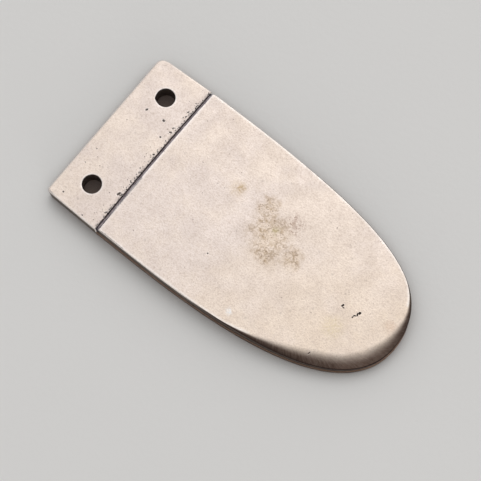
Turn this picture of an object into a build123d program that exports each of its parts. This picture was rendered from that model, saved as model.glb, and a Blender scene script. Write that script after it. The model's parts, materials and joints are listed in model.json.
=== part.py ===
from build123d import *
import os

# A tongue-shaped bronze guard plate. A base plate carries the fixing strip and a thin tray, and a
# bevelled tongue plate is soldered onto the tray, with its face standing a little above the strip.
# Millimetres. +X runs from the fixing strip to the tip, +Y across the plate, +Z from the flat back
# to the worked face. The origin is on the back face, midway between the two fixing holes.

# Plan of the whole plate
plate_width = 40.0
plate_length = 79.5
strip_length = 13.6
strip_end_taper = 0.4
upper_corner_radius = 1.8
lower_corner_radius = 0.9

# The rounded tip, and how far each side runs on before it turns in. The two sides differ a little.
tip_offset = 0.2
upper_side_reach = 42.8
upper_tip_reach = 17.4
lower_side_reach = 16.8
lower_tip_reach = 23.0

# Heights above the back face
plate_height = 5.0
strip_step = 0.8
tray_height = 1.3
solder_film = 0.1
bevel_drop = 1.5

# The tongue plate's margin inside the base plate, its softened butt end and its bevelled tip
ledge_width = 0.3
joint_gap = 0.35
butt_chamfer = 0.4
butt_corner_radius = 1.2
tip_bevel = 3.2
upper_bevel = 0.4
lower_bevel = 3.0

# Solder: how far the film stays inside the tongue, and the bead below the strip's face
film_margin = 0.4
bead_recess = 0.45

# Fixing holes, in a row across the strip
hole_diameter = 4.3
hole_spacing = 25.2
hole_setback = 6.9

# Derived places
half_width = plate_width / 2
strip_end_x = -hole_setback
strip_end_y = half_width - strip_end_taper
shoulder_x = strip_end_x + strip_length
butt_x = shoulder_x + joint_gap
tip_x = strip_end_x + plate_length
strip_height = plate_height - strip_step
tongue_base = tray_height + solder_film
bevel_start = plate_height - bevel_drop


def tongue_sides(start_x, inset=0.0, tip_setback=0.0, upper_pull=0.0, lower_pull=0.0):
    """Draw the tongue's two sides as one curve each: +Y side to the tip, then back along the -Y side.

    inset moves the whole outline in, tip_setback draws the tip back, and each pull slims its side.
    """
    side_y = half_width - inset
    end_x = tip_x - inset - tip_setback
    upper = Bezier(
        (start_x, side_y),
        (start_x + upper_side_reach, side_y),
        (end_x, tip_offset + upper_tip_reach - inset - upper_pull),
        (end_x, tip_offset),
    )
    lower = Bezier(
        upper @ 1,
        (end_x, tip_offset - lower_tip_reach + inset + lower_pull),
        (start_x + lower_side_reach, -side_y),
        (start_x, -side_y),
    )
    return upper, lower


def tongue_face(*shape):
    """Make a tongue in the current sketch, straight across its butt end, with one corner rounded."""
    with BuildLine() as outline:
        upper, lower = tongue_sides(butt_x, *shape)
        Line(lower @ 1, upper @ 0)
    face = make_face(outline.edges())
    fillet(face.vertices().group_by(Axis.X)[0].sort_by(Axis.Y)[-1], butt_corner_radius)


# Base plate: the fixing strip at full height, and the thin tray under the tongue
with BuildPart() as base_plate:
    with BuildSketch() as base_outline:
        with BuildLine():
            upper, lower = tongue_sides(shoulder_x)
            Polyline(lower @ 1, (strip_end_x, -strip_end_y), (strip_end_x, strip_end_y), upper @ 0)
        make_face()
        lower_corner, upper_corner = base_outline.vertices().group_by(Axis.X)[0].sort_by(Axis.Y)
        fillet(upper_corner, upper_corner_radius)
        fillet(lower_corner, lower_corner_radius)
    extrude(amount=strip_height)
    with BuildSketch(Plane.XY.offset(tray_height)):
        with Locations((shoulder_x, 0)):
            Rectangle(plate_length, 2 * plate_width, align=(Align.MIN, Align.CENTER))
    extrude(amount=plate_height, mode=Mode.SUBTRACT)
    with GridLocations(0, hole_spacing, 1, 2):
        Hole(hole_diameter / 2)

# Tongue plate: a straight wall, then a bevel that widens towards the tip
with BuildPart() as tongue_plate:
    for height in (tongue_base, bevel_start):
        with BuildSketch(Plane.XY.offset(height)):
            tongue_face(ledge_width)
    with BuildSketch(Plane.XY.offset(plate_height)):
        tongue_face(ledge_width, tip_bevel, upper_bevel, lower_bevel)
    loft(ruled=True)
    with BuildSketch(Plane.XZ):
        with BuildLine():
            Polyline(
                (butt_x, plate_height),
                (butt_x + butt_chamfer, plate_height),
                (butt_x, plate_height - butt_chamfer),
                close=True,
            )
        make_face()
    extrude(amount=plate_width, both=True, mode=Mode.SUBTRACT)

# Solder: a thin film under the tongue, and a bead that fills the joint line
with BuildPart() as solder_seam:
    film_inset = ledge_width + film_margin
    with BuildSketch(Plane.XY.offset(tray_height)):
        tongue_face(film_inset)
    extrude(amount=solder_film)
    with BuildSketch(Plane.XY.offset(tray_height)):
        with Locations((shoulder_x, 0)):
            Rectangle(joint_gap, 2 * (half_width - film_inset), align=(Align.MIN, Align.CENTER))
    extrude(amount=strip_height - bead_recess - tray_height)

base_plate.part.label = "base_plate"
tongue_plate.part.label = "tongue_plate"
solder_seam.part.label = "solder_seam"

os.makedirs("parts", exist_ok=True)
export_step(base_plate.part, "parts/base_plate.step")
export_step(tongue_plate.part, "parts/tongue_plate.step")
export_step(solder_seam.part, "parts/solder_seam.step")
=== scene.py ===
"""Looks for the tongue-shaped bronze guard plate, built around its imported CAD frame.

Each CAD node is replaced by a dense, hand-finished mesh of the same size: the base plate with its
drilled strip, the tongue plate with its filed tip, and the dark solder between them.
Sizes are in millimetres until a mesh is written, in the frame's axes: +X to the tip, +Z up.
"""

import json
import math
import random

import bmesh
import bpy
import numpy as np
from mathutils import Matrix, Vector, kdtree, noise


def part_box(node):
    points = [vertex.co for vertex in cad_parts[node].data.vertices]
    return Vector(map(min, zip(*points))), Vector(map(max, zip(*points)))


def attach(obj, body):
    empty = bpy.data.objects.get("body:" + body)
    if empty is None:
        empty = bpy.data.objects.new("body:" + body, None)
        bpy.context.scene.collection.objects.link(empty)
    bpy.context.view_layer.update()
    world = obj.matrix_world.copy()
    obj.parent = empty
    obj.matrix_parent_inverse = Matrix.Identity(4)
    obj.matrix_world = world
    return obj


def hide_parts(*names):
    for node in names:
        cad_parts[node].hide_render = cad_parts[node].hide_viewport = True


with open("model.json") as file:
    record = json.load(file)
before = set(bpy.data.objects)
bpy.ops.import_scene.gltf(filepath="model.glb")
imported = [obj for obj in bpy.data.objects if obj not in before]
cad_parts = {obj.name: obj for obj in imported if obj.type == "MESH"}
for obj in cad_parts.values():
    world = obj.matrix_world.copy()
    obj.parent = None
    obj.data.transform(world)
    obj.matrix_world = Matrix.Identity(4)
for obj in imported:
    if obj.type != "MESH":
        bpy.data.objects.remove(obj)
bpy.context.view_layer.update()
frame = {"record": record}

MM = 0.001


# ---------------------------------------------------------------- sizes, from the frame
def box_mm(node):
    """A CAD node's lowest and highest corners in millimetres."""
    low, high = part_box(node)
    return np.array(low) / MM, np.array(high) / MM


base_low, base_high = box_mm("base_plate")
tongue_low, tongue_high = box_mm("tongue_plate")
solder_low, solder_high = box_mm("solder_seam")
fixing_holes = next(m for m in frame["record"]["mounts"] if m["name"] == "fixing_holes")

HALF_WIDTH = base_high[1]
STRIP_END_X = base_low[0]
TIP_X = base_high[0]
STRIP_HEIGHT = base_high[2]
SHOULDER_X = solder_low[0]
BUTT_X = tongue_low[0]
TRAY_HEIGHT = solder_low[2]
TONGUE_BASE = tongue_low[2]
FACE_HEIGHT = tongue_high[2]
LEDGE = TIP_X - tongue_high[0]
BEAD_TOP = solder_high[2]
HOLE_RADIUS = fixing_holes["dims"]["hole_r_mm"]
HOLE_Y = fixing_holes["dims"]["spacing_y_mm"] / 2

# Plan shape: the strip end's taper and corners, and how far each side runs on before the tip
STRIP_END_TAPER = 0.4
LOW_CORNER = 0.9
HIGH_CORNER = 1.8
BUTT_LOW_CORNER = 0.5
BUTT_HIGH_CORNER = 1.2
TIP_Y = 0.2
UPPER_SIDE_REACH = 42.8
UPPER_TIP_REACH = 17.4
LOWER_SIDE_REACH = 16.8
LOWER_TIP_REACH = 23.0

# How far the tip's own arc runs to each side of the tip point, in the meshes
TIP_SPAN = 14.0

# Edges worn round by finishing
STRIP_LOW_EDGE = 0.18
STRIP_HIGH_EDGE = 0.3
STRIP_END_EDGE = 0.5
TONGUE_EDGE = 0.18
BUTT_EDGE = 0.66
LEDGE_EDGE = 0.12
FOOT_EDGE = 0.2
HOLE_EDGE = 0.16

# How far along the sides the end's rounder edge gives way to theirs, and where it starts to
END_EDGE_REACH = (3.0, 0.5)

# The shoulder leans out by this much on its way down from the strip to the tray
SHOULDER_SLOPE = 0.03

# How far from an edge the rub wear and its painted highlight reach, the spots that stand for the
# edge at each of its points, and the widest worn edge whose crest gets rub wear and a painted
# highlight
RUB_AND_HIGHLIGHT_REACH = 0.5
EDGE_SPOTS = 10
CREST_WIDTH = 0.9

# The small nick in the +Y hole's wall: its direction in degrees, depth, and spread in radians
NICK_TURN = 221.0
NICK_DEPTH = 0.18
NICK_SPREAD = 0.27

# The filed bevel's size, and where it grows and shrinks, by distance along the outline from the
# tip point, which is below 0 on the lower side
BEVEL_WIDTH = 3.1
BEVEL_DROP = 1.65
BEVEL_START = (-42.0, -18.0)
BEVEL_END = (-5.0, 15.0)

# The power that an edge's section follows: plain round edges, and the filed bevel's crisper one
PLAIN_BEND = 2.0
FILED_BEND = 1.55
CRISP_START = (-32.0, -12.0)

# The joint line bows a little away from the strip's end towards each side
JOINT_BOW = 0.2
BOW_MIDDLE = -3.0
BOW_REACH = 19.0
BOW_FADE = (1.0, 4.5)

# Ripples that are added up: the height, lump size and seed of each. The bevel's and the pit rims'
# heights are shares of their size
FACE_RIPPLES = ((0.035, 13.0, 1), (0.014, 3.2, 2), (0.006, 1.1, 4))
BEVEL_RIPPLES = ((0.08, 6.0, 7), (0.05, 2.2, 8))
BEAD_RIPPLES = ((0.16, 1.6, 5), (0.1, 0.5, 6))
PIT_RIM_RIPPLES = ((0.35, 0.22, 3),)

# Backs stay flat: the ripples set in over FREE_RISE, from this far above the tongue's back and
# from this far below the tray's top
TONGUE_STILL_RISE = 0.1
TRAY_STILL_DEPTH = 0.3
FREE_RISE = 0.6

# Casting pits and short cracks: x, y, length, width, turn in degrees and depth
TONGUE_PITS = (
    (58.4, -0.5, 0.75, 0.35, 75, 0.3),
    (58.8, -0.8, 0.5, 0.2, 10, 0.15),
    (62.2, 0.35, 0.65, 0.5, 70, 0.4),
    (62.0, -0.2, 0.8, 0.22, -65, 0.3),
    (61.7, -0.7, 0.8, 0.2, 25, 0.25),
    (61.5, -1.2, 0.6, 0.18, 80, 0.2),
    (29.2, -9.3, 0.4, 0.3, 0, 0.2),
    (58.9, -12.9, 0.9, 0.16, 80, 0.12),
)
STRIP_PITS = (
    (-1.5, 7.9, 0.75, 0.45, 60, 0.25),
    (3.0, 8.2, 0.66, 0.58, 0, 0.35),
    (4.8, 4.8, 0.5, 0.42, 0, 0.25),
    (5.8, 7.0, 0.65, 0.38, 30, 0.25),
    (5.7, 8.1, 0.55, 0.32, 80, 0.2),
    (6.2, 0.8, 0.6, 0.35, 40, 0.3),
    (5.9, -10.7, 0.5, 1.1, -20, 0.4),
    (-3.7, -17.7, 0.4, 0.35, 0, 0.3),
    (2.8, -19.2, 0.4, 0.3, 0, 0.25),
    (-4.3, -5.8, 0.4, 0.2, 30, 0.12),
    (-4.3, -9.7, 0.35, 0.2, 10, 0.1),
)

# How far round a pit the mesh is cut finer, with how many cuts, and how far up its faces point
PIT_FINE_MARGIN = 0.35
PIT_CUTS = 3
UPWARD = 0.3

# How far round and how deep below the strip's face a pit moves points that face higher than this
PIT_MARGIN = 0.2
PIT_DEPTH_LIMIT = 1.0
DOWNWARD = -0.2

# The painted highlight on the lip round a pit, placed by the same measure as Pit.spread
LIP_MIDDLE = 1.7
LIP_REACH = 0.9
LIP_HIGHLIGHT = 0.6

# Small losses along the strip's edge of the joint: most lie within NIBBLE_BACK, a few stray further
NIBBLE_COUNT = 90
NIBBLE_SEED = 8
NIBBLE_END_GAP = 0.8
NIBBLE_BACK = 0.2
NIBBLE_STRAY = 0.9
NIBBLE_LENGTH = (0.16, 0.45)
NIBBLE_WIDTH = (0.13, 0.26)
NIBBLE_TURN = (50, 130)
NIBBLE_DEPTH = 0.2

# The solder film's inset from the tongue's edge, the bead's distance from the plate's sides, and
# how far the bead's top sags at each share of its half width
FILM_INSET = 0.12
BEAD_END_GAP = 0.35
BEAD_SECTION = ((-1, 0.0), (-0.5, 0.12), (0, 0.16), (0.5, 0.12), (1, 0.0))

# Mesh density, and the heights of a wall's rings as shares of it
CROSS_CELLS = 132
TONGUE_SIDE_CELLS = 200
STRIP_CELLS = 48
STRIP_LINE_CELLS = 200
TRAY_CELLS = 160
HOLE_BLOCK = 12
FILM_SIDE_CELLS = 120
FILM_CROSS_CELLS = 60
BEAD_POINTS = 260
BEVEL_RINGS = 15
EDGE_RINGS = 5
HOLE_RINGS = 10
HOLE_EDGE_RINGS = 4
WALL_SHARES = (0, 0.33, 0.66, 1)


def smoothstep(low, high, value):
    """0 below low, 1 above high, and a smooth rise between them."""
    t = np.clip((value - low) / (high - low), 0, 1)
    return t * t * (3 - 2 * t)


# ---------------------------------------------------------------- plan outlines
def bezier(p0, p1, p2, p3, count=400):
    """A cubic curve as a polyline."""
    t = np.linspace(0, 1, count)[:, None]
    p0, p1, p2, p3 = (np.array(p, float) for p in (p0, p1, p2, p3))
    return (1 - t) ** 3 * p0 + 3 * (1 - t) ** 2 * t * p1 + 3 * (1 - t) * t**2 * p2 + t**3 * p3


def step_lengths(points):
    """The distance from each point of a polyline to the next."""
    return np.linalg.norm(np.diff(points, axis=0), axis=1)


def resample(points, cells):
    """The same polyline with cells + 1 points, evenly spaced along it."""
    points = np.asarray(points, float)
    length = np.concatenate([[0], np.cumsum(step_lengths(points))])
    at = np.linspace(0, length[-1], cells + 1)
    return np.stack([np.interp(at, length, points[:, k]) for k in range(points.shape[1])], axis=1)


def arc(centre, radius, start, end, count=12):
    """A circular arc as a polyline, with its angles in degrees."""
    angle = np.radians(np.linspace(start, end, count))
    return np.array(centre) + radius * np.stack([np.cos(angle), np.sin(angle)], axis=1)


def tongue_side(side, start_x, inset):
    """One side of the tongue from its butt end to the tip. side is 1 for +Y and -1 for -Y."""
    side_reach = UPPER_SIDE_REACH if side > 0 else LOWER_SIDE_REACH
    tip_reach = UPPER_TIP_REACH if side > 0 else LOWER_TIP_REACH
    side_y = side * (HALF_WIDTH - inset)
    end_x = TIP_X - inset
    return bezier(
        (start_x, side_y),
        (start_x + side_reach, side_y),
        (end_x, TIP_Y + side * (tip_reach - inset)),
        (end_x, TIP_Y),
    )


def cut_at_tip(low, high):
    """Two side lines that meet at the tip, each cut short of it, and the tip's arc between them."""
    low_count, high_count = (
        np.count_nonzero(np.cumsum(step_lengths(line)[::-1]) > TIP_SPAN) for line in (low, high)
    )
    tip = np.concatenate([low[low_count - 1 :], high[high_count - 1 : -1][::-1]])
    return low[:low_count], tip, high[:high_count]


def cornered(side_line, end_x, end_y, radius, side):
    """A side line led on round its corner at (end_x, end_y), as far as the middle of the arc."""
    centre = (end_x + radius, end_y - side * radius)
    turn = arc(centre, radius, side * 135, side * 90)
    straight = side_line[side_line[:, 0] > end_x + radius]
    return np.concatenate([turn, straight])


def across(x, low_y, high_y, low_radius, high_radius):
    """The straight line across the plate's end at x, with half of each corner's arc."""
    low = arc((x + low_radius, low_y + low_radius), low_radius, 225, 180)
    high = arc((x + high_radius, high_y - high_radius), high_radius, 180, 135)
    return np.concatenate([low, high])


# ---------------------------------------------------------------- mesh building
def loop_normals(loop):
    """Outward unit normals of a closed plan loop that runs counter-clockwise."""
    ahead = np.roll(loop, -1, axis=0) - loop
    behind = loop - np.roll(loop, 1, axis=0)
    tangent = ahead / np.linalg.norm(ahead, axis=1)[:, None]
    tangent += behind / np.linalg.norm(behind, axis=1)[:, None]
    tangent /= np.linalg.norm(tangent, axis=1)[:, None]
    return np.stack([tangent[:, 1], -tangent[:, 0]], axis=1)


def coons(low, high, start, end):
    """A grid of points between four sides: low and high run along it, start and end across it."""
    u = np.linspace(0, 1, len(low))[:, None, None]
    v = np.linspace(0, 1, len(start))[None, :, None]
    along = (1 - v) * low[:, None] + v * high[:, None]
    over = (1 - u) * start[None] + u * end[None]
    corners = (1 - u) * ((1 - v) * low[0] + v * high[0]) + u * ((1 - v) * low[-1] + v * high[-1])
    return along + over - corners


def lift(plan, height):
    """Plan points at a height, or at one height each."""
    height = np.broadcast_to(np.asarray(height, float), plan.shape[:-1])
    return np.concatenate([plan, height[..., None]], axis=-1)


class Shell:
    """Points and faces of one mesh, in millimetres."""

    def __init__(self):
        self.points = []
        self.faces = []

    def add(self, points):
        """Adds points and returns their numbers, in the same arrangement."""
        points = np.asarray(points, float)
        first = len(self.points)
        self.points.extend(points.reshape(-1, 3))
        return np.arange(first, len(self.points)).reshape(points.shape[:-1])

    def at(self, numbers):
        """The points with these numbers."""
        return np.array([self.points[k] for k in numbers])

    def quads(self, grid, skip=None):
        """Faces over a grid of point numbers, apart from the cells that skip marks."""
        for i in range(grid.shape[0] - 1):
            for j in range(grid.shape[1] - 1):
                if skip is None or not skip[i, j]:
                    corners = grid[i, j], grid[i + 1, j], grid[i + 1, j + 1], grid[i, j + 1]
                    self.faces.append(corners)

    def band(self, ring_a, ring_b):
        """Faces between two closed rings of point numbers."""
        self.quads(np.stack([np.append(ring_a, ring_a[0]), np.append(ring_b, ring_b[0])]))

    def wall(self, loop, sections):
        """Rings of a closed loop, drawn in by each section's inset and at its height, joined up."""
        normal = loop_normals(loop)
        rings = []
        for inset, height in sections:
            inset = np.broadcast_to(inset, len(loop))
            rings.append(self.add(lift(loop - normal * inset[:, None], height)))
        for lower, upper in zip(rings, rings[1:]):
            self.band(lower, upper)
        return rings[0], rings[-1]

    def work_mesh(self, merge=0.004):
        """A bmesh with the shell's faces welded and turned outwards."""
        work = bmesh.new()
        verts = [work.verts.new(p) for p in self.points]
        for face in self.faces:
            corners = [verts[k] for k in face]
            work.faces.new(corners)
        bmesh.ops.remove_doubles(work, verts=work.verts, dist=merge)
        bmesh.ops.dissolve_degenerate(work, edges=work.edges, dist=merge / 4)
        loose = [v for v in work.verts if not v.link_faces]
        bmesh.ops.delete(work, geom=loose, context="VERTS")
        bmesh.ops.recalc_face_normals(work, faces=work.faces)
        return work


# ---------------------------------------------------------------- hand finishing
def add_to_scene(name, data):
    """A new object with this data, linked into the scene."""
    thing = bpy.data.objects.new(name, data)
    bpy.context.scene.collection.objects.link(thing)
    return thing


def ripple(points, size, seed):
    """Smooth noise about -1 to 1 at each point, with lumps of the given size in millimetres."""
    shift = Vector((17.3 * seed, -9.1 * seed, 5.7 * seed))
    return np.array([noise.noise(Vector(p) / size + shift) for p in points])


def ripples(points, waves):
    """Several ripples added up, from the height, lump size and seed of each."""
    return sum(height * ripple(points, size, seed) for height, size, seed in waves)


def joint_bow(points):
    """Moves points near the joint line along X, so the joint bows a little."""
    bow = JOINT_BOW * ((points[:, 1] - BOW_MIDDLE) / BOW_REACH) ** 2
    near = 1 - smoothstep(*BOW_FADE, np.abs(points[:, 0] - (SHOULDER_X + BUTT_X) / 2))
    points[:, 0] += bow * near


def refine(work, pits):
    """Cuts the mesh's top faces finer round each pit."""
    chosen = set()
    for face in work.faces:
        centre = face.calc_center_median()
        if face.normal.z > UPWARD and any(pit.near(centre) for pit in pits):
            chosen.update(face.edges)
    bmesh.ops.subdivide_edges(work, edges=list(chosen), cuts=PIT_CUTS, use_grid_fill=True)
    bmesh.ops.triangulate(work, faces=[f for f in work.faces if len(f.verts) > 4])


class Pit:
    """A casting pit or short crack: where it is, its length, width, turn in degrees and depth."""

    def __init__(self, x, y, length, width, turn, depth):
        self.centre = np.array([x, y])
        self.size = np.array([length, width]) / 2
        self.turn = math.radians(turn)
        self.depth = depth

    def near(self, point):
        """True where the mesh needs to be fine for this pit."""
        reach = self.size.max() + PIT_FINE_MARGIN
        return math.hypot(point.x - self.centre[0], point.y - self.centre[1]) < reach

    def spread(self, points):
        """How far out each point is: 0 at the pit's middle, 1 on its ragged rim."""
        flat = points[:, :2] - self.centre
        c, s = math.cos(self.turn), math.sin(self.turn)
        along = (flat @ (c, s)) / self.size[0]
        over = (flat @ (-s, c)) / self.size[1]
        return (along**2 + over**2) * (1 + ripples(points, PIT_RIM_RIPPLES))


def closeness(points, lines, reach):
    """How close each point is in plan to the nearest of the lines: 1 on one, 0 beyond reach."""
    spots = np.concatenate([resample(line, EDGE_SPOTS * len(line)) for line in lines])
    tree = kdtree.KDTree(len(spots))
    for k, (x, y) in enumerate(spots):
        tree.insert((x, y, 0.0), k)
    tree.balance()
    gap = np.array([tree.find((x, y, 0.0))[2] for x, y in points[:, :2]])
    return np.clip(1 - gap / reach, 0, 1)


def finish_piece(work, name, node, pits, still_below, edges=()):
    """Sculpts a welded mesh as hand-finished metal, in the place of a CAD node.

    Points below still_below only follow the joint's bow, so that the piece's back stays flat.
    Points close to one of the plan lines in edges are marked for rub wear and a painted highlight.
    """
    refine(work, pits)
    work.normal_update()
    points = np.array([v.co for v in work.verts])
    normals = np.array([v.normal for v in work.verts])
    pitted = np.zeros(len(points))
    rubbed_and_highlighted = closeness(points, edges, RUB_AND_HIGHLIGHT_REACH) if edges else np.zeros(len(points))
    for pit in pits:
        near = np.linalg.norm(points[:, :2] - pit.centre, axis=1) < pit.size.max() + PIT_MARGIN
        near &= (points[:, 2] > STRIP_HEIGHT - PIT_DEPTH_LIMIT) & (normals[:, 2] > DOWNWARD)
        spread = pit.spread(points[near])
        share = np.clip(1 - spread, 0, 1)
        lip = np.clip(1 - np.abs(spread - LIP_MIDDLE) / LIP_REACH, 0, 1)
        points[near, 2] -= pit.depth * share**0.8
        pitted[near] = np.maximum(pitted[near], share**0.5)
        # Painted highlight on the lip round each pit
        rubbed_and_highlighted[near] = np.maximum(rubbed_and_highlighted[near], LIP_HIGHLIGHT * lip)
    free = smoothstep(still_below, still_below + FREE_RISE, points[:, 2])
    points += normals * (ripples(points, FACE_RIPPLES) * free)[:, None]
    joint_bow(points)
    mesh = bpy.data.meshes.new(name)
    for vert, point in zip(work.verts, points):
        vert.co = point * MM
    work.to_mesh(mesh)
    work.free()
    # The second attribute marks rub wear and a painted highlight
    for key, values in (("pit", pitted), ("rub_and_highlight", rubbed_and_highlighted)):
        mesh.attributes.new(key, "FLOAT", "POINT").data.foreach_set("value", values)
    mesh.shade_smooth()
    piece = add_to_scene(name, mesh)
    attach(piece, "root")
    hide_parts(node)
    return piece


# ---------------------------------------------------------------- tongue plate
def tongue_outline():
    """The tongue's closed outline: lower side, tip's arc, upper side back, and butt end."""
    low_y = -(HALF_WIDTH - LEDGE)
    high_y = HALF_WIDTH - LEDGE
    low = cornered(tongue_side(-1, BUTT_X, LEDGE), BUTT_X, low_y, BUTT_LOW_CORNER, -1)
    high = cornered(tongue_side(1, BUTT_X, LEDGE), BUTT_X, high_y, BUTT_HIGH_CORNER, 1)
    low, tip, high = cut_at_tip(low, high)
    low = resample(low, TONGUE_SIDE_CELLS)
    tip = resample(tip, CROSS_CELLS)
    high = resample(high, TONGUE_SIDE_CELLS)
    butt = resample(across(BUTT_X, low_y, high_y, BUTT_LOW_CORNER, BUTT_HIGH_CORNER), CROSS_CELLS)
    return np.concatenate([low, tip[1:], high[::-1][1:], butt[::-1][1:-1]])


def tongue_rim(loop):
    """The width, drop and bend of the tongue's worn or filed edge at each outline point."""
    run = np.concatenate([[0], np.cumsum(step_lengths(loop))])
    from_tip = run - (run[TONGUE_SIDE_CELLS] + run[TONGUE_SIDE_CELLS + CROSS_CELLS]) / 2
    share = smoothstep(*BEVEL_START, from_tip) * (1 - smoothstep(*BEVEL_END, from_tip))
    share *= 1 + ripples(lift(loop, 0), BEVEL_RIPPLES)
    edge = np.where(loop[:, 0] < BUTT_X + BUTT_LOW_CORNER / 2, BUTT_EDGE, TONGUE_EDGE)
    crisp = smoothstep(*CRISP_START, from_tip) * share
    bend = PLAIN_BEND - (PLAIN_BEND - FILED_BEND) * crisp
    return edge + BEVEL_WIDTH * share, edge + BEVEL_DROP * share, bend


def build_tongue():
    """The tongue plate: a slab with its filed bevel, worn edges and casting pits."""
    shell = Shell()
    loop = tongue_outline()
    width, drop, bend = tongue_rim(loop)
    wall_top = FACE_HEIGHT - drop
    wall_foot = TONGUE_BASE + LEDGE_EDGE
    sections = [(LEDGE_EDGE, TONGUE_BASE), (LEDGE_EDGE * 0.3, TONGUE_BASE + LEDGE_EDGE * 0.3)]
    sections += [(0.0, wall_foot + f * (wall_top - wall_foot)) for f in WALL_SHARES]
    for f in np.linspace(0, 1, BEVEL_RINGS + 1)[1:]:
        sections.append((width * f, FACE_HEIGHT - drop * (1 - f) ** bend))
    tip_start = TONGUE_SIDE_CELLS
    tip_end = TONGUE_SIDE_CELLS + CROSS_CELLS
    butt_start = tip_end + TONGUE_SIDE_CELLS
    for ring in shell.wall(loop, sections):
        points = shell.at(ring)
        low = points[: tip_start + 1]
        tip = points[tip_start : tip_end + 1]
        high = points[tip_end : butt_start + 1][::-1]
        butt = np.concatenate([points[butt_start:], points[:1]])[::-1]
        shell.quads(shell.add(coons(low, high, butt, tip)))
    tip_middle = (tip_start + tip_end) // 2
    # Crest lines of the narrower worn edges, which get rub wear and a painted highlight
    crest = np.roll(loop - loop_normals(loop) * width[:, None], -tip_middle, axis=0)
    edges = [crest[np.roll(width, -tip_middle) < CREST_WIDTH]]
    pits = [Pit(*numbers) for numbers in TONGUE_PITS]
    still_below = TONGUE_BASE + TONGUE_STILL_RISE
    return finish_piece(
        shell.work_mesh(), "tongue_plate_cast", "tongue_plate", pits, still_below, edges
    )


# ---------------------------------------------------------------- base plate
def base_outline():
    """The base plate's closed outline, and how many points each of its sides has."""
    low_y = -(HALF_WIDTH - STRIP_END_TAPER)
    high_y = HALF_WIDTH - STRIP_END_TAPER
    tray_x = SHOULDER_X + SHOULDER_SLOPE
    tray_low, tip, tray_high = cut_at_tip(tongue_side(-1, tray_x, 0.0), tongue_side(1, tray_x, 0.0))
    tip = resample(tip, CROSS_CELLS)
    sides = []
    for side, end_y, corner, tray in (
        (-1, low_y, LOW_CORNER, tray_low),
        (1, high_y, HIGH_CORNER, tray_high),
    ):
        line = resample([(STRIP_END_X, end_y), (SHOULDER_X, side * HALF_WIDTH)], STRIP_LINE_CELLS)
        strip = resample(cornered(line, STRIP_END_X, end_y, corner, side), STRIP_CELLS)
        sides.append(np.concatenate([strip, resample(tray, TRAY_CELLS)]))
    low, high = sides
    end = resample(across(STRIP_END_X, low_y, high_y, LOW_CORNER, HIGH_CORNER), CROSS_CELLS)
    return np.concatenate([low, tip[1:-1], high[::-1], end[::-1][1:-1]]), len(low)


def hole_nick(centre, away):
    """How far the hole's wall stands out in each direction. The +Y hole has a small nick."""
    if centre[1] < 0:
        return np.zeros(len(away))
    turn = math.radians(NICK_TURN)
    off = np.arccos(np.clip(away @ (math.cos(turn), math.sin(turn)), -1, 1))
    return NICK_DEPTH * np.exp(-((off / NICK_SPREAD) ** 2))


def drill(shell, grid, plan, centre, upward):
    """Rings of faces from a block of the strip's grid in to a hole's rounded rim.

    Returns the rim's ring and the block's row and column ranges, which the grid leaves out.
    """
    gap = np.hypot(plan[..., 0] - centre[0], plan[..., 1] - centre[1])
    row, column = np.unravel_index(gap.argmin(), gap.shape)
    i0, i1 = row - HOLE_BLOCK, row + HOLE_BLOCK
    j0, j1 = column - HOLE_BLOCK, column + HOLE_BLOCK
    border = [(i0, j) for j in range(j0, j1)] + [(i, j1) for i in range(i0, i1)]
    border += [(i1, j) for j in range(j1, j0, -1)] + [(i, j0) for i in range(i1, i0, -1)]
    last = np.array([grid[i, j] for i, j in border])
    outer = shell.at(last)
    away = outer[:, :2] - centre
    away /= np.linalg.norm(away, axis=1)[:, None]
    radius = HOLE_RADIUS + hole_nick(centre, away)
    rim = lift(centre + away * (radius + HOLE_EDGE)[:, None], outer[:, 2])
    rings = [outer * (1 - f) + rim * f for f in np.linspace(0, 1, HOLE_RINGS + 1)[1:]]
    for f in np.linspace(0, 1, HOLE_EDGE_RINGS + 1)[1:]:
        ring = centre + away * (radius + HOLE_EDGE * (1 - f) ** 2)[:, None]
        rings.append(lift(ring, outer[:, 2] - upward * HOLE_EDGE * f**2))
    for ring in rings:
        numbers = shell.add(ring)
        shell.band(last, numbers)
        last = numbers
    return last, (slice(i0, i1), slice(j0, j1))


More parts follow.
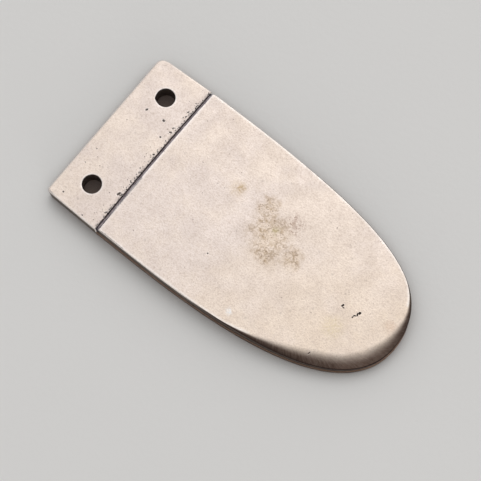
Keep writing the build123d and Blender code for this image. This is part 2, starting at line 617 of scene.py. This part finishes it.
def build_base():
    """The base plate: the thick drilled strip and the thin tray, in one watertight mesh."""
    shell = Shell()
    loop, side_count = base_outline()
    number = np.arange(len(loop))
    high_end = side_count + CROSS_CELLS - 1
    end_start = high_end + side_count - 1
    strip_end = end_start - STRIP_CELLS
    on_strip = (number <= STRIP_CELLS) | (number >= strip_end)
    top = np.where(on_strip, STRIP_HEIGHT, TRAY_HEIGHT)
    to_end = smoothstep(*END_EDGE_REACH, loop[:, 0] - STRIP_END_X)
    side_edge = np.where(loop[:, 1] > 0, STRIP_HIGH_EDGE, STRIP_LOW_EDGE)
    edge = np.where(on_strip, side_edge + (STRIP_END_EDGE - side_edge) * to_end, LEDGE_EDGE)
    sections = [(FOOT_EDGE * (1 - f) ** 2, FOOT_EDGE * f) for f in (0, 0.3, 1)]
    sections += [(0.0, FOOT_EDGE + f * (top - edge - FOOT_EDGE)) for f in WALL_SHARES[1:]]
    for f in np.linspace(0, 1, EDGE_RINGS + 1)[1:]:
        sections.append((edge * f, top - edge * (1 - f) ** 2))
    rims = []
    for ring, upward in zip(shell.wall(loop, sections), (-1, 1)):
        points = shell.at(ring)
        low = points[:side_count]
        tip = points[side_count - 1 : high_end + 1]
        high = points[high_end : end_start + 1][::-1]
        end = np.concatenate([points[end_start:], points[:1]])[::-1]
        shoulder = resample([low[STRIP_CELLS], high[STRIP_CELLS]], CROSS_CELLS)
        strip = coons(low[: STRIP_CELLS + 1], high[: STRIP_CELLS + 1], end, shoulder)
        grid = shell.add(strip)
        skip = np.zeros((STRIP_CELLS, CROSS_CELLS), bool)
        for y in (HOLE_Y, -HOLE_Y):
            rim, block = drill(shell, grid, strip, np.array([0.0, y]), upward)
            skip[block] = True
            rims.append(rim)
        shell.quads(grid, skip)
        # The shoulder, down from the strip's last row to the tray's first
        tray_low, tray_high = low[STRIP_CELLS + 1 :], high[STRIP_CELLS + 1 :]
        tray_start = resample([tray_low[0], tray_high[0]], CROSS_CELLS)
        shell.quads(shell.add(np.stack([shoulder, tray_start])))
        shell.quads(shell.add(coons(tray_low, tray_high, tray_start, tip)))
    for lower, upper in zip(rims[:2], rims[2:]):
        shell.band(lower, upper)
    pits = [Pit(*numbers) for numbers in STRIP_PITS]
    pits += nibbles()
    # The strip's outer edge and the hole rims get rub wear and a painted highlight
    strip_edge = np.concatenate([loop[strip_end:], loop[: STRIP_CELLS + 1]])
    edges = [strip_edge] + [arc((0.0, y), HOLE_RADIUS, 0, 360, 90) for y in (HOLE_Y, -HOLE_Y)]
    still_below = TRAY_HEIGHT - TRAY_STILL_DEPTH
    return finish_piece(
        shell.work_mesh(), "base_plate_cast", "base_plate", pits, still_below, edges
    )


def nibbles():
    """Small ragged losses along the strip's edge of the joint, where the solder ran out short."""
    chance = random.Random(NIBBLE_SEED)
    end_y = HALF_WIDTH - NIBBLE_END_GAP
    found = []
    for _ in range(NIBBLE_COUNT):
        y = chance.uniform(-end_y, end_y)
        back = chance.uniform(0.0, NIBBLE_BACK) + NIBBLE_STRAY * chance.random() ** 5
        length = chance.uniform(*NIBBLE_LENGTH)
        width = chance.uniform(*NIBBLE_WIDTH)
        turn = chance.uniform(*NIBBLE_TURN)
        found.append(Pit(SHOULDER_X - back, y, length, width, turn, NIBBLE_DEPTH))
    return found


# ---------------------------------------------------------------- solder
def build_solder():
    """The solder: a thin film under the tongue, and a lumpy bead with a hollow top in the joint."""
    shell = Shell()
    inset = LEDGE + FILM_INSET
    low, tip, high = cut_at_tip(tongue_side(-1, BUTT_X, inset), tongue_side(1, BUTT_X, inset))
    low = resample(low, FILM_SIDE_CELLS)
    tip = resample(tip, FILM_CROSS_CELLS)
    high = resample(high, FILM_SIDE_CELLS)
    cross = resample([low[0], high[0]], FILM_CROSS_CELLS)
    loop = np.concatenate([low, tip[1:], high[::-1][1:], cross[::-1][1:-1]])
    shell.wall(loop, [(0.0, TRAY_HEIGHT), (0.0, TONGUE_BASE)])
    for height in (TRAY_HEIGHT, TONGUE_BASE):
        shell.quads(shell.add(lift(coons(low, high, cross, tip), height)))

    end_y = HALF_WIDTH - BEAD_END_GAP
    y = np.linspace(-end_y, end_y, BEAD_POINTS)
    centre = (SHOULDER_X + BUTT_X) / 2
    half = (BUTT_X - SHOULDER_X) / 2
    line = np.stack([np.full_like(y, centre), y, np.full_like(y, BEAD_TOP)], axis=1)
    level = ripples(line, BEAD_RIPPLES)
    columns = []
    for across_share, sag in BEAD_SECTION:
        x = centre + across_share * half
        columns.append(np.stack([np.full_like(y, x), y, BEAD_TOP + level - sag], axis=1))
    for x in (centre + half, centre - half):
        columns.append(np.stack([np.full_like(y, x), y, np.full_like(y, TRAY_HEIGHT)], axis=1))
    grid = shell.add(np.stack(columns + columns[:1]))
    shell.quads(grid)
    for k in (0, -1):
        shell.faces.append(tuple(grid[:-1, k]))
    return finish_piece(shell.work_mesh(), "solder_joint", "solder_seam", [], FACE_HEIGHT)


# ---------------------------------------------------------------- materials
# Bronze colours, from the clean face to its marks, painted highlights on worn edges, painted dark
# reflections on the bevel, walls and ledge, painted shade at the joint and in the crevice, and dark
# pits
CLOUDS = ((0.864, 0.736, 0.634), (0.857, 0.739, 0.666))
WARM_TIP = (0.89, 0.74, 0.60)
MOTTLE = (0.62, 0.5, 0.4)
GRAIN = (0.62, 0.5, 0.42)
DIMPLE = (0.42, 0.36, 0.32)
STAIN_WASH = (0.66, 0.49, 0.30)
STAIN_BLOTCH = (0.45, 0.31, 0.17)
STAIN_CRACKLE = (0.36, 0.25, 0.15)
STAIN_SPECK = (0.30, 0.2, 0.14)
STAIN_RED = (0.33, 0.19, 0.14)
SEAM_PAINTED_SHADE = (0.22, 0.19, 0.19)
SLOPE_HIGHLIGHT = (0.95, 0.88, 0.82)
RUB_HIGHLIGHT = (0.98, 0.92, 0.87)
BUTT_PAINTED_SHADE = ((0.17, 0.145, 0.18), (0.40, 0.36, 0.39))
FILED_PAINTED_SHADE = (0.52, 0.4, 0.33)
STEEP_BROWN = (0.066, 0.032, 0.022)
FOOT_BROWN = (0.024, 0.012, 0.009)
WALL_PAINTED_REFLECTION = ((0.04, 0.026, 0.019), (0.14, 0.088, 0.058))
LEDGE_PAINTED_REFLECTION = (0.2, 0.12, 0.08)
CREVICE_PAINTED_SHADE = (0.02, 0.015, 0.012)
PIT_DARK = (0.06, 0.045, 0.04)
SOLDER = ((0.025, 0.02, 0.027), (0.11, 0.10, 0.12))

# Fine scratches, in sets: the turn in degrees, length and width, and a shift that parts the sets
SCRATCH_SETS = ((32, 9.0, 0.09, 0), (-41, 6.0, 0.08, 31), (78, 7.0, 0.1, 57))

# Where the face warms towards the tip, along a slanted line, and where the bevel's looks set in
WARM_SLANT = 0.8
WARM_REACH = (34.0, 66.0)
FILED_REACH = (36.0, 46.0)
STEEP_REACH = (30.0, 40.0)

# How far the painted shade reaches from the joint onto the tongue's butt end and onto the strip
BUTT_REACH = (0.52, 0.66)
SEAM_SHADE_REACH = 0.85

# The stain on the tongue's face is several ragged lobes: the middle and the radius of each
STAIN_LOBES = (
    (36.6, 2.4, 6.4),
    (33.4, 6.8, 3.6),
    (39.0, -2.2, 4.0),
    (43.8, 1.0, 3.2),
)

# Its redder patch of specks: the middle and the two radii
STAIN_RED_PATCH = (40.2, 6.9, 4.0, 3.4)

# Single spots on the face: middle, radius, strength and colour
FACE_SPOTS = (
    (37.4, 3.5, 1.3, 0.5, (0.48, 0.41, 0.2)),
    (25.2, 5.7, 2.6, 0.35, (0.62, 0.47, 0.28)),
    (26.0, 6.5, 1.5, 0.8, (0.48, 0.33, 0.17)),
    (59.5, -5.6, 3.6, 0.4, (0.72, 0.58, 0.33)),
    (69.0, 2.2, 1.9, 0.5, (0.62, 0.42, 0.30)),
    (40.4, -16.4, 1.1, 0.9, (0.93, 0.91, 0.89)),
)

# The file marks point away from a middle this far from the tip, and lean over by a share
FILE_RADIUS = 20.0
FILE_SLANT = -0.8


class Graph:
    """A node material, with one short call for each kind of node that it uses."""

    def __init__(self, name):
        self.material = bpy.data.materials.new(name)
        self.material.use_nodes = True
        self.tree = self.material.node_tree
        self.shader = self.tree.nodes["Principled BSDF"]
        place = self.tree.nodes.new("ShaderNodeTexCoord").outputs["Object"]
        self.place = self.vector("SCALE", place, scale=1 / MM)
        parts = self.tree.nodes.new("ShaderNodeSeparateXYZ")
        self.feed(parts.inputs[0], self.place)
        self.x, self.y, self.z = parts.outputs
        reach = self.math("DIVIDE", self.math("SUBTRACT", self.y, BOW_MIDDLE), BOW_REACH)
        bow = self.times(self.times(reach, reach), JOINT_BOW)
        self.joint_x = self.math("SUBTRACT", self.x, bow)
        facing = self.tree.nodes.new("ShaderNodeSeparateXYZ")
        geometry = self.tree.nodes.new("ShaderNodeNewGeometry")
        self.feed(facing.inputs[0], geometry.outputs["Normal"])
        self.upward = facing.outputs["Z"]

    def feed(self, socket, value):
        """Links an output to the socket, or sets the socket's own value."""
        if isinstance(value, bpy.types.NodeSocket):
            self.tree.links.new(value, socket)
        elif isinstance(value, tuple) and len(value) == 3 and socket.type == "RGBA":
            socket.default_value = (*value, 1.0)
        else:
            socket.default_value = value

    def math(self, operation, a, b=0.0):
        """One arithmetic step on numbers."""
        node = self.tree.nodes.new("ShaderNodeMath")
        node.operation = operation
        for socket, value in zip(node.inputs, (a, b)):
            self.feed(socket, value)
        return node.outputs[0]

    def vector(self, operation, a, b=(0.0, 0.0, 0.0), scale=1.0):
        """One arithmetic step on vectors."""
        node = self.tree.nodes.new("ShaderNodeVectorMath")
        node.operation = operation
        self.feed(node.inputs[0], a)
        if operation == "SCALE":
            self.feed(node.inputs["Scale"], scale)
        elif operation != "LENGTH":
            self.feed(node.inputs[1], b)
        return node.outputs["Value" if operation == "LENGTH" else "Vector"]

    def times(self, a, b):
        """The product of two numbers."""
        return self.math("MULTIPLY", a, b)

    def ramp(self, value, low, high, to_low=0.0, to_high=1.0):
        """A smooth clamped ramp from to_low at low to to_high at high."""
        node = self.tree.nodes.new("ShaderNodeMapRange")
        node.interpolation_type = "SMOOTHSTEP"
        names = ("Value", "From Min", "From Max", "To Min", "To Max")
        for key, number in zip(names, (value, low, high, to_low, to_high)):
            self.feed(node.inputs[key], number)
        return node.outputs["Result"]

    def blend(self, share, a, b):
        """Colour a, with colour b over it by share."""
        node = self.tree.nodes.new("ShaderNodeMix")
        node.data_type = "RGBA"
        for socket, value in zip((node.inputs[0], node.inputs[6], node.inputs[7]), (share, a, b)):
            self.feed(socket, value)
        return node.outputs[2]

    def noise(self, size, detail=3.0, roughness=0.55, place=None, distortion=0.0):
        """Noise about 0.5, with lumps of the given size in millimetres."""
        node = self.tree.nodes.new("ShaderNodeTexNoise")
        self.feed(node.inputs["Vector"], self.place if place is None else place)
        for key, number in (("Scale", 1 / size), ("Detail", detail), ("Roughness", roughness)):
            self.feed(node.inputs[key], number)
        self.feed(node.inputs["Distortion"], distortion)
        return node.outputs["Fac"]

    def cells(self, size, feature="F1", place=None):
        """A pattern of cells of the given size: its distance, and its colour if it has one."""
        node = self.tree.nodes.new("ShaderNodeTexVoronoi")
        node.feature = feature
        self.feed(node.inputs["Vector"], self.place if place is None else place)
        self.feed(node.inputs["Scale"], 1 / size)
        return node.outputs["Distance"], node.outputs.get("Color")

    def stretched(self, turn, along, over, shift=0.0):
        """The place turned about Z and drawn out, for streaks that run along one direction."""
        node = self.tree.nodes.new("ShaderNodeMapping")
        node.vector_type = "TEXTURE"
        self.feed(node.inputs["Vector"], self.place)
        self.feed(node.inputs["Location"], (shift, shift / 3, 0.0))
        self.feed(node.inputs["Rotation"], (0.0, 0.0, math.radians(turn)))
        self.feed(node.inputs["Scale"], (along, over, 1.0))
        return node.outputs[0]

    def attribute(self, name):
        """The mesh's own number at each point, by its name."""
        node = self.tree.nodes.new("ShaderNodeAttribute")
        node.attribute_name = name
        return node.outputs["Fac"]

    def relief(self, height, strength=1.0):
        """A bumped normal from a height in millimetres."""
        node = self.tree.nodes.new("ShaderNodeBump")
        self.feed(node.inputs["Strength"], strength)
        self.feed(node.inputs["Distance"], MM)
        self.feed(node.inputs["Height"], height)
        return node.outputs[0]

    def surface(self, **inputs):
        """Feeds the surface shader, by input names with their spaces written as underscores."""
        for key, value in inputs.items():
            self.feed(self.shader.inputs[key.replace("_", " ")], value)
        return self.material


def dots(g, spacing, share, smallest, largest):
    """Scattered round dots in a share of the cells of a pattern: how far in one each place is."""
    distance, colour = g.cells(spacing)
    picked = g.tree.nodes.new("ShaderNodeSeparateColor")
    g.feed(picked.inputs[0], colour)
    size = g.ramp(picked.outputs[0], 0.0, 1.0, smallest, largest)
    there = g.math("LESS_THAN", picked.outputs[1], share)
    return g.times(there, g.ramp(distance, 0.0, size, 1.0, 0.0))


def pores(g):
    """Sparse pinholes left by casting, thickest beside the joint."""
    away = g.math("ABSOLUTE", g.math("SUBTRACT", g.joint_x, SHOULDER_X - 0.4))
    beside = g.ramp(away, 0.3, 3.2, 0.75, 0.03)
    return dots(g, 0.42, g.times(beside, g.noise(3.0)), 0.1, 0.34)


def scratches(g):
    """Fine scratches from finishing, in a few directions: 1 on a scratch."""
    total = 0.0
    for turn, along, over, shift in SCRATCH_SETS:
        lines = g.noise(1.0, 2.0, 0.6, g.stretched(turn, along, over, shift))
        patch = g.ramp(g.noise(7.0, 1.0, place=g.stretched(0, 1.0, 1.0, shift * 3)), 0.45, 0.65)
        total = g.math("MAXIMUM", total, g.times(g.ramp(lines, 0.66, 0.74), patch))
    return total


def wandering(g, size, reach):
    """The place pushed about by noise of the given size, by up to about half of reach."""
    node = g.tree.nodes.new("ShaderNodeTexNoise")
    g.feed(node.inputs["Vector"], g.place)
    g.feed(node.inputs["Scale"], 1 / size)
    g.feed(node.inputs["Detail"], 3.0)
    push = g.vector("SUBTRACT", node.outputs["Color"], (0.5, 0.5, 0.5))
    return g.vector("ADD", g.place, g.vector("SCALE", push, scale=reach))


def spot(g, place, x, y, along, over):
    """A soft-edged spot on the face round (x, y): 1 at its middle, 0 outside its two radii."""
    off = g.vector("SUBTRACT", place, (x, y, FACE_HEIGHT))
    off = g.vector("MULTIPLY", off, (1 / along, 1 / over, 0.0))
    return g.ramp(g.vector("LENGTH", off), 0.2, 1.0, 1.0, 0.0)


def clean_face(g, grain, mottle):
    """The satin face: faint clouds that warm towards the tip, under mottling, grain and dimples."""
    colour = g.blend(g.ramp(g.noise(9.5, 3.0, 0.55), 0.36, 0.64), *CLOUDS)
    towards_tip = g.math("SUBTRACT", g.x, g.times(g.y, WARM_SLANT))
    warm = g.times(g.ramp(towards_tip, *WARM_REACH), g.ramp(g.noise(6.0), 0.35, 0.7, 0.6, 1.0))
    colour = g.blend(warm, colour, WARM_TIP)
    colour = g.blend(g.ramp(mottle, 0.3, 0.75, 0.0, 0.16), colour, MOTTLE)
    colour = g.blend(g.ramp(grain, 0.4, 0.75, 0.0, 0.75), colour, GRAIN)
    dimple = dots(g, 1.7, g.times(g.noise(8.0), 0.7), 0.1, 0.3)
    return g.blend(g.times(dimple, 0.32), colour, DIMPLE)


def stained(g, colour):
    """The colour under the tongue's crazed olive-brown stain, with its redder patch of specks."""
    ragged = wandering(g, 2.6, 5.5)
    near = 0.0
    for x, y, size in STAIN_LOBES:
        near = g.math("MAXIMUM", near, spot(g, ragged, x, y, size, size))
    blotch = g.ramp(g.noise(1.25, 4.0, 0.65), 0.47, 0.62)
    speck = g.ramp(g.noise(0.38, 3.0, 0.7), 0.54, 0.64)
    edge, _ = g.cells(1.9, "DISTANCE_TO_EDGE", wandering(g, 0.8, 1.3))
    crackle = g.times(g.ramp(edge, 0.01, 0.13, 1.0, 0.0), g.ramp(g.noise(2.4, 1.0), 0.36, 0.55))
    colour = g.blend(g.times(near, 0.25), colour, STAIN_WASH)
    colour = g.blend(g.times(g.times(near, blotch), 0.5), colour, STAIN_BLOTCH)
    colour = g.blend(g.times(g.times(near, crackle), 0.6), colour, STAIN_CRACKLE)
    colour = g.blend(g.times(g.times(near, speck), 0.75), colour, STAIN_SPECK)
    specks = g.math("MAXIMUM", speck, g.times(blotch, 0.4))
    red = g.times(spot(g, ragged, *STAIN_RED_PATCH), specks)
    return g.blend(g.times(red, 0.95), colour, STAIN_RED)


def spotted(g, colour):
    """The colour under the face's few single spots."""
    loose = wandering(g, 1.0, 1.6)
    grit = g.ramp(g.noise(0.45, 3.0, 0.7), 0.38, 0.62, 0.3, 1.0)
    for x, y, size, share, tint in FACE_SPOTS:
        patch = g.times(spot(g, loose, x, y, size, size), g.times(grit, share))
        colour = g.blend(patch, colour, tint)
    return colour


def joint_shaded(g, colour):
    """The colour with painted shade in patches on the strip's edge of the joint."""
    from_joint = g.math("SUBTRACT", SHOULDER_X, g.joint_x)
    patches = g.ramp(g.noise(0.7, 3.0), 0.35, 0.6)
    seam_shade = g.times(g.ramp(from_joint, 0.0, SEAM_SHADE_REACH, 1.0, 0.0), patches)
    return g.blend(g.times(seam_shade, 0.45), colour, SEAM_PAINTED_SHADE)


def butt_shaded(g, colour):
    """The colour with painted shade, in darker and lighter patches, down the tongue's rounded butt
    end.
    """
    butt = g.ramp(g.math("SUBTRACT", g.joint_x, BUTT_X), *BUTT_REACH, 1.0, 0.0)
    butt_shade = g.blend(g.ramp(g.noise(1.1, 4.0, 0.65), 0.42, 0.6), *BUTT_PAINTED_SHADE)
    return g.blend(g.times(butt, 0.92), colour, butt_shade)


def round_tip(g, around, outwards):
    """The place in polar form about the tip's middle, for marks that run out to the edge."""
    x = g.math("SUBTRACT", g.x, TIP_X - FILE_RADIUS)
    y = g.math("SUBTRACT", g.y, TIP_Y)
    out = g.math("SQRT", g.math("ADD", g.times(x, x), g.times(y, y)))
    turn = g.times(g.math("ARCTAN2", y, x), FILE_RADIUS)
    turn = g.times(g.math("ADD", turn, g.times(out, FILE_SLANT)), 1 / around)
    joined = g.tree.nodes.new("ShaderNodeCombineXYZ")
    g.feed(joined.inputs[0], turn)
    g.feed(joined.inputs[1], g.times(out, 1 / outwards))
    return joined.outputs[0]


def darkened_bevel(g, colour, file_marks):
    """The colour with the tip's bevel browner the steeper it is, as if it mirrored dark stone."""
    near_tip = g.ramp(g.x, *STEEP_REACH)
    steep = g.times(near_tip, g.ramp(g.upward, 0.99, 0.8))
    steep = g.times(steep, g.ramp(file_marks, 0.3, 0.7, 0.84, 1.0))
    colour = g.blend(g.times(steep, 0.94), colour, STEEP_BROWN)
    foot = g.times(near_tip, g.ramp(g.upward, 0.86, 0.62))
    return g.blend(g.times(foot, 0.93), colour, FOOT_BROWN)


def reflection_darkened(g, colour, wall, streak):
    """The colour with a painted brown reflection on the low ledge beyond the joint, and a streaky
    painted dark reflection on every wall.
    """
    reflection_streaks = g.math("ADD", g.times(streak, 0.55), g.times(g.noise(1.8, 3.0), 0.45))
    wall_reflection = g.blend(g.ramp(reflection_streaks, 0.38, 0.64), *WALL_PAINTED_REFLECTION)
    beyond = g.math("GREATER_THAN", g.joint_x, SHOULDER_X)
    ledge = g.times(g.ramp(g.z, TONGUE_BASE, TONGUE_BASE + 0.3, 1.0, 0.0), beyond)
    colour = g.blend(g.times(ledge, 0.9), colour, LEDGE_PAINTED_REFLECTION)
    return g.blend(g.times(wall, 0.92), colour, wall_reflection)


def bronze(name, is_tongue):
    """Satin cast bronze: clouded face, worn edges with painted highlights, painted dark reflections
    on bevel and walls, painted shade at the joint, pits, pores and scratches.
    """
    g = Graph(name)
    grain = g.noise(0.34, 3.0, 0.75)
    mottle = g.noise(0.9, 3.0, 0.6)
    streak = g.noise(0.3, 4.0, 0.7, g.stretched(0, 9.0, 9.0))
    file_marks = g.noise(1.0, 4.0, 0.75, round_tip(g, 0.5, 2.2), distortion=0.4)
    scratch = scratches(g)
    pore = pores(g)
    dark = g.math("MAXIMUM", g.attribute("pit"), pore)
    rub_and_highlight = g.times(g.attribute("rub_and_highlight"), g.ramp(g.noise(1.6), 0.25, 0.6, 0.45, 1.0))
    sloped = g.ramp(g.upward, 0.8, 0.995, 1.0, 0.0)
    wall = g.ramp(g.upward, 0.1, 0.55, 1.0, 0.0)
    filed = g.times(g.ramp(g.x, *FILED_REACH), sloped)
    wear_and_highlight = g.math("SUBTRACT", sloped, filed)

    colour = clean_face(g, grain, mottle)
    # The base gets painted shade beside the joint
    colour = spotted(g, stained(g, colour)) if is_tongue else joint_shaded(g, colour)
    # Painted highlight on the sloped worn edges
    colour = g.blend(g.times(wear_and_highlight, 0.5), colour, SLOPE_HIGHLIGHT)
    # Painted highlight along edges, hole rims and pit lips
    colour = g.blend(g.times(rub_and_highlight, 0.55), colour, RUB_HIGHLIGHT)
    # Painted shade down the tongue's rounded butt end
    if is_tongue:
        colour = butt_shaded(g, colour)
    # Painted shade on the sloped filed bevel towards the tip
    colour = g.blend(g.times(filed, 0.35), colour, FILED_PAINTED_SHADE)
    colour = darkened_bevel(g, colour, file_marks)
    # Painted dark reflections on the low ledge and on every wall
    colour = reflection_darkened(g, colour, wall, streak)
    if is_tongue:
        # Painted shade low down on the tongue's wall, near its back
        crevice_shade = g.times(g.ramp(g.z, TONGUE_BASE + 0.2, TONGUE_BASE + 1.3, 1.0, 0.0), wall)
        colour = g.blend(g.times(crevice_shade, 0.9), colour, CREVICE_PAINTED_SHADE)
    colour = g.blend(g.times(dark, 0.85), colour, PIT_DARK)

    rough = g.ramp(g.noise(5.0, 3.0), 0.3, 0.7, 0.36, 0.5)
    rough = g.math("ADD", rough, g.times(grain, 0.08))
    rough = g.math("SUBTRACT", rough, g.times(scratch, 0.12))
    rough = g.math("SUBTRACT", rough, g.times(g.math("MAXIMUM", wear_and_highlight, rub_and_highlight), 0.12))
    rough = g.math("MAXIMUM", rough, g.math("MAXIMUM", g.times(wall, 0.5), g.times(dark, 0.62)))

    height = g.times(grain, 0.05)
    height = g.math("ADD", height, g.times(mottle, 0.02))
    height = g.math("ADD", height, g.times(g.times(streak, wall), 0.03))
    height = g.math("SUBTRACT", height, g.times(scratch, 0.008))
    height = g.math("SUBTRACT", height, g.times(pore, 0.12))
    height = g.math("ADD", height, g.times(g.times(file_marks, filed), 0.07))
    dull = g.math("MAXIMUM", g.times(wall, 0.3), g.times(dark, 0.5))
    return g.surface(
        Base_Color=colour,
        Metallic=g.math("SUBTRACT", 1.0, dull),
        Roughness=rough,
        Normal=g.relief(height),
    )


def solder_metal():
    """Dull, slightly violet solder, oxidised in patches."""
    g = Graph("dark_solder")
    patch = g.ramp(g.noise(0.7, 4.0, 0.65), 0.35, 0.68)
    return g.surface(
        Base_Color=g.blend(patch, *SOLDER),
        Metallic=g.ramp(patch, 0.0, 1.0, 0.3, 0.8),
        Roughness=g.ramp(g.noise(0.4), 0.3, 0.7, 0.45, 0.7),
        Normal=g.relief(g.times(g.noise(0.35, 3.0), 0.06)),
    )


# ---------------------------------------------------------------- stage
CAMERA_AZIMUTH = 34.0
CAMERA_ELEVATION = 76.3
CAMERA_ROLL = 4.2
CAMERA_DISTANCE = 238.6
CAMERA_LENS = 82.3
CAMERA_SENSOR = 36.0
AIM = Vector((32.25, -1.76, 0.0))
CONTACT_REACH = 5.0
PALE_BOARD = ((0.76, 0.735, 0.70), (0.79, 0.765, 0.73))
CONTACT_SHADE = (0.17, 0.115, 0.09)
FLOOR_HALF_SIZE = 2.0
SKY_COLOUR = (0.95, 0.97, 1.0, 1.0)
SKY_AZIMUTH = 214.0
SKY_ELEVATION = 68.0
SKY_EDGE = (0.35, 0.8)
SKY_LEVELS = (0.26, 0.95)
HORIZON_EDGE = (0.42, 0.18)
HORIZON_LEVEL = 0.45


def direction(azimuth, elevation):
    """Unit vector from the object to a viewer who, at azimuth 0, looks along +Y."""
    a, e = math.radians(azimuth - 90), math.radians(elevation)
    return Vector((math.cos(a) * math.cos(e), math.sin(a) * math.cos(e), math.sin(e)))


def aimed(thing, place, target, roll=0.0):
    """Puts a camera or lamp at place, looking at target, both in metres."""
    back = (place - target).normalized()
    right = Vector((0, 0, 1)).cross(back).normalized()
    up = back.cross(right)
    turn = math.radians(roll)
    x_axis = right * math.cos(turn) + up * math.sin(turn)
    y_axis = up * math.cos(turn) - right * math.sin(turn)
    turned = Matrix((x_axis, y_axis, back)).transposed()
    thing.matrix_world = Matrix.Translation(place) @ turned.to_4x4()


def add_camera():
    """The camera at the photograph's viewing angle."""
    data = bpy.data.cameras.new("front_view")
    data.lens = CAMERA_LENS
    data.sensor_width = CAMERA_SENSOR
    data.clip_start = 0.01
    camera = add_to_scene("front_view", data)
    place = (AIM + direction(CAMERA_AZIMUTH, CAMERA_ELEVATION) * CAMERA_DISTANCE) * MM
    aimed(camera, place, AIM * MM, CAMERA_ROLL)
    bpy.context.scene.camera = camera


def add_floor():
    """A pale matt board, far larger than the plate, with a dark shade where the plate meets it."""
    work = bmesh.new()
    bmesh.ops.create_grid(work, x_segments=8, y_segments=8, size=FLOOR_HALF_SIZE)
    mesh = bpy.data.meshes.new("floor")
    work.to_mesh(mesh)
    work.free()
    floor = add_to_scene("floor", mesh)
    g = Graph("pale_board")
    fibre = g.noise(1.5, 4.0)
    colour = g.blend(g.noise(60.0, 2.0), *PALE_BOARD)
    open_sky = g.tree.nodes.new("ShaderNodeAmbientOcclusion")
    open_sky.samples = 8
    g.feed(open_sky.inputs["Distance"], CONTACT_REACH * MM)
    colour = g.blend(g.ramp(open_sky.outputs["AO"], 0.1, 0.85), CONTACT_SHADE, colour)
    g.surface(Base_Color=colour, Roughness=0.9, Normal=g.relief(g.times(fibre, 0.05)))
    mesh.materials.append(g.material)


def add_lamp(name, azimuth, elevation, distance, size, power):
    """A round soft lamp aimed at the plate, with its distance and size in metres."""
    data = bpy.data.lights.new(name, "AREA")
    data.shape = "DISK"
    data.size = size
    data.energy = power
    target = AIM * MM
    aimed(add_to_scene(name, data), target + direction(azimuth, elevation) * distance, target)


def sky_ramp(tree, value, given, wanted):
    """A smooth clamped ramp in the world's nodes, from one pair of values to another."""
    node = tree.nodes.new("ShaderNodeMapRange")
    node.interpolation_type = "SMOOTHSTEP"
    numbers = (*given, *wanted)
    for key, number in zip(("From Min", "From Max", "To Min", "To Max"), numbers):
        node.inputs[key].default_value = number
    tree.links.new(value, node.inputs["Value"])
    return node.outputs["Result"]


def add_sky():
    """Soft light from above and behind the strip, falling away towards the viewer's side."""
    world = bpy.data.worlds.new("studio")
    world.use_nodes = True
    tree = world.node_tree
    way = tree.nodes.new("ShaderNodeTexCoord").outputs["Generated"]
    towards = tree.nodes.new("ShaderNodeVectorMath")
    towards.operation = "DOT_PRODUCT"
    tree.links.new(way, towards.inputs[0])
    towards.inputs[1].default_value = direction(SKY_AZIMUTH, SKY_ELEVATION)
    glow = sky_ramp(tree, towards.outputs["Value"], SKY_EDGE, SKY_LEVELS)
    height = tree.nodes.new("ShaderNodeSeparateXYZ")
    tree.links.new(way, height.inputs[0])
    wall = sky_ramp(tree, height.outputs["Z"], HORIZON_EDGE, (0.0, HORIZON_LEVEL))
    level = tree.nodes.new("ShaderNodeMath")
    tree.links.new(glow, level.inputs[0])
    tree.links.new(wall, level.inputs[1])
    background = tree.nodes["Background"]
    background.inputs["Color"].default_value = SKY_COLOUR
    tree.links.new(level.outputs[0], background.inputs["Strength"])
    bpy.context.scene.world = world


tongue = build_tongue()
base = build_base()
solder = build_solder()
for piece, material, slot in (
    (tongue, bronze("tongue_bronze_satin", True), "tongue_bronze"),
    (base, bronze("base_bronze_satin", False), "base_bronze"),
    (solder, solder_metal(), "solder"),
):
    piece.data.materials.append(material)

add_camera()
add_floor()
add_sky()
add_lamp("key", azimuth=195, elevation=55, distance=1.4, size=0.8, power=2.0)
add_lamp("fill", azimuth=60, elevation=14, distance=1.6, size=0.9, power=2.5)
bpy.context.scene.view_settings.view_transform = "Standard"
